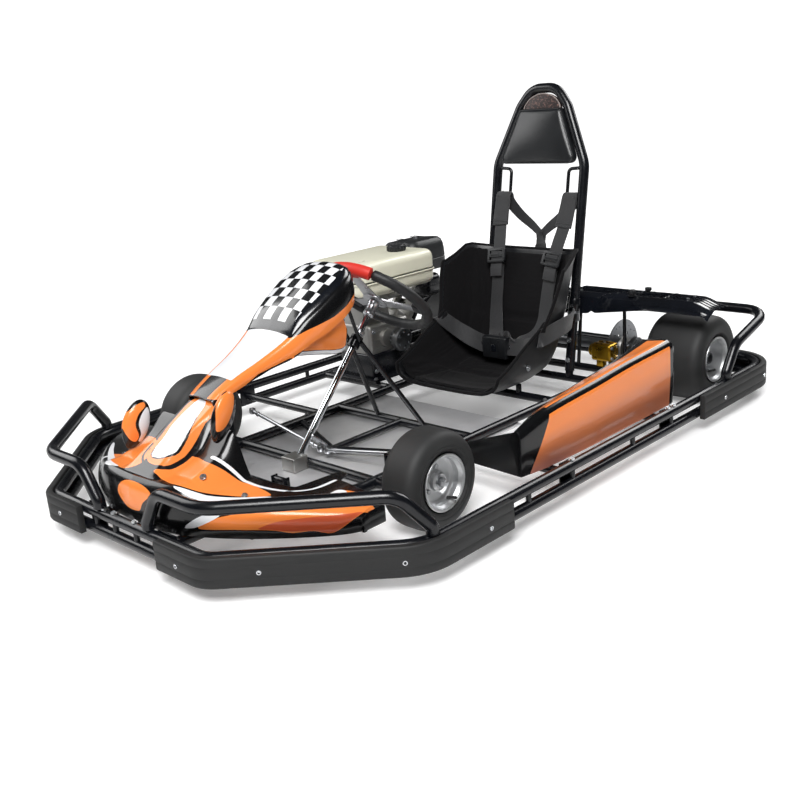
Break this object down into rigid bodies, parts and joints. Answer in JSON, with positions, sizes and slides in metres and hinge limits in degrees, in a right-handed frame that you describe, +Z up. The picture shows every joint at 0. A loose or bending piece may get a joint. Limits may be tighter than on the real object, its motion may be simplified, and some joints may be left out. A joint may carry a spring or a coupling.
{
  "type": "racing kart",
  "caption": "Low open racing kart with a full bumper ring, bucket seat under a harness hoop, side engine with chain drive, live rear axle and linked steering.",
  "frame": {"origin": "on the ground, in the middle of the kart's outline", "axes": "forward is -Y, the driver's left is +X, +Z is up"},
  "size_m": [1.374, 2.024, 0.9952],
  "materials": {
    "black_powder_coat": "semi-gloss black powder coat",
    "black_rubber": "matt moulded rubber",
    "tyre_rubber": "worn slick rubber",
    "red_rubber": "matt red rubber",
    "orange_plastic": "gloss orange plastic",
    "black_plastic": "grained black plastic",
    "black_fabric": "black padded cloth",
    "brown_leather": "patterned brown leather",
    "black_webbing": "woven black webbing",
    "alloy": "satin aluminium",
    "steel": "bare machined steel",
    "chrome": "bright chrome",
    "cast_alloy": "sand-cast aluminium",
    "gold_anodised": "gold anodised",
    "cream_plastic": "cream moulded plastic"
  },
  "bodies": {
    "chassis": {"bumper_ring": "black_powder_coat", "wheel_guard_left": "black_powder_coat", "wheel_guard_right": "black_powder_coat", "rear_guard": "black_powder_coat", "main_frame": "black_powder_coat", "roll_hoop": "black_powder_coat", "muffler": "black_powder_coat", "bumper_pad_front_left": "black_rubber", "bumper_pad_front_right": "black_rubber", "bumper_pad_rear_left": "black_rubber", "bumper_pad_rear_right": "black_rubber", "nose_fairing": "orange_plastic", "steering_fairing": "orange_plastic", "side_pod_left": "orange_plastic", "rear_deck": "black_plastic", "seat_shell": "black_plastic", "harness_buckle": "black_plastic", "column_bush": "black_plastic", "recoil_cover": "black_plastic", "air_cleaner": "black_plastic", "seat_cushion": "black_fabric", "headrest_pad": "black_fabric", "headrest_cap": "brown_leather", "shoulder_harness": "black_webbing", "lap_belt_left": "black_webbing", "lap_belt_right": "black_webbing", "floor_tray": "alloy", "kingpin_bolt_left": "steel", "kingpin_bolt_right": "steel", "drive_chain": "steel", "axle_bearing_left": "steel", "axle_bearing_right": "steel", "engine_block": "cast_alloy", "brake_caliper": "gold_anodised", "fuel_tank": "cream_plastic"},
    "steering": {"steering_column": "chrome", "steering_wheel_rim": "black_rubber", "steering_wheel_grip": "red_rubber", "steering_wheel_spokes": "alloy"},
    "left_knuckle": {"knuckle_left": "steel"},
    "right_knuckle": {"knuckle_right": "steel"},
    "left_tie_rod": {"tie_rod_left": "steel"},
    "right_tie_rod": {"tie_rod_right": "steel"},
    "front_left_wheel": {"tyre_front_left": "tyre_rubber", "rim_front_left": "alloy"},
    "front_right_wheel": {"tyre_front_right": "tyre_rubber", "rim_front_right": "alloy"},
    "axle": {"rear_axle": "steel", "brake_disc": "steel", "axle_sprocket": "steel", "tyre_rear_left": "tyre_rubber", "rim_rear_left": "alloy", "tyre_rear_right": "tyre_rubber", "rim_rear_right": "alloy"},
    "clutch": {"clutch_drum": "steel"},
    "brake": {"brake_pedal": "black_powder_coat"},
    "throttle": {"throttle_pedal": "black_powder_coat"},
    "cap": {"fuel_cap": "black_plastic"},
    "pull_grip": {"recoil_grip": "black_plastic"},
    "button": {"buckle_button": "black_plastic"}
  },
  "joints": [
    {"name": "steering_turn", "type": "hinge", "parent": "chassis", "child": "steering", "pos_m": [0, -0.456, 0.078], "axis": [0, 0.6756, 0.7373], "range_deg": [-44, 44]},
    {"name": "left_knuckle_turn", "type": "hinge", "parent": "chassis", "child": "left_knuckle", "pos_m": [0.36, -0.427, 0.1246], "axis": [0, 0, 1], "range_deg": [-22, 22]},
    {"name": "right_knuckle_turn", "type": "hinge", "parent": "chassis", "child": "right_knuckle", "pos_m": [-0.36, -0.427, 0.1246], "axis": [0, 0, 1], "range_deg": [-22, 22]},
    {"name": "left_tie_rod_turn", "type": "hinge", "parent": "left_knuckle", "child": "left_tie_rod", "pos_m": [0.348, -0.322, 0.128], "axis": [0, 0, 1], "range_deg": [-22, 22]},
    {"name": "right_tie_rod_turn", "type": "hinge", "parent": "right_knuckle", "child": "right_tie_rod", "pos_m": [-0.348, -0.322, 0.128], "axis": [0, 0, 1], "range_deg": [-22, 22]},
    {"name": "front_left_wheel_spin", "type": "hinge", "parent": "left_knuckle", "child": "front_left_wheel", "pos_m": [0.459, -0.427, 0.1246], "axis": [1, 0, 0], "continuous": true},
    {"name": "front_right_wheel_spin", "type": "hinge", "parent": "right_knuckle", "child": "front_right_wheel", "pos_m": [-0.459, -0.427, 0.1246], "axis": [1, 0, 0], "continuous": true},
    {"name": "axle_spin", "type": "hinge", "parent": "chassis", "child": "axle", "pos_m": [0, 0.791, 0.1353], "axis": [1, 0, 0], "continuous": true},
    {"name": "clutch_spin", "type": "hinge", "parent": "chassis", "child": "clutch", "pos_m": [-0.32, 0.29, 0.215], "axis": [1, 0, 0], "continuous": true},
    {"name": "brake_press", "type": "hinge", "parent": "chassis", "child": "brake", "pos_m": [0.11, -0.6, 0.102], "axis": [1, 0, 0], "range_deg": [0, 22], "stiffness_Nm_per_rad": 3, "springref_deg": -14.32},
    {"name": "throttle_press", "type": "hinge", "parent": "chassis", "child": "throttle", "pos_m": [-0.11, -0.6, 0.102], "axis": [1, 0, 0], "range_deg": [0, 22], "stiffness_Nm_per_rad": 3, "springref_deg": -14.32},
    {"name": "cap_turn", "type": "hinge", "parent": "chassis", "child": "cap", "pos_m": [-0.345, 0.34, 0.5], "axis": [0, 0, 1], "range_deg": [0, 90]},
    {"name": "grip_pull", "type": "slide", "parent": "chassis", "child": "pull_grip", "axis": [0, -1, 0], "range_m": [0, 0.3], "stiffness_N_per_m": 15, "springref_m": -0.05},
    {"name": "button_press", "type": "slide", "parent": "chassis", "child": "button", "axis": [0, 1, 0], "range_m": [0, 0.0018], "stiffness_N_per_m": 400, "springref_m": -0.001}
  ],
  "couplings": [
    {"joint": "left_knuckle_turn", "follows": "steering_turn", "ratio": 0.49},
    {"joint": "right_knuckle_turn", "follows": "steering_turn", "ratio": 0.49},
    {"joint": "left_tie_rod_turn", "follows": "steering_turn", "ratio": -0.49},
    {"joint": "right_tie_rod_turn", "follows": "steering_turn", "ratio": -0.49},
    {"joint": "clutch_spin", "follows": "axle_spin", "ratio": 3.0357}
  ]
}
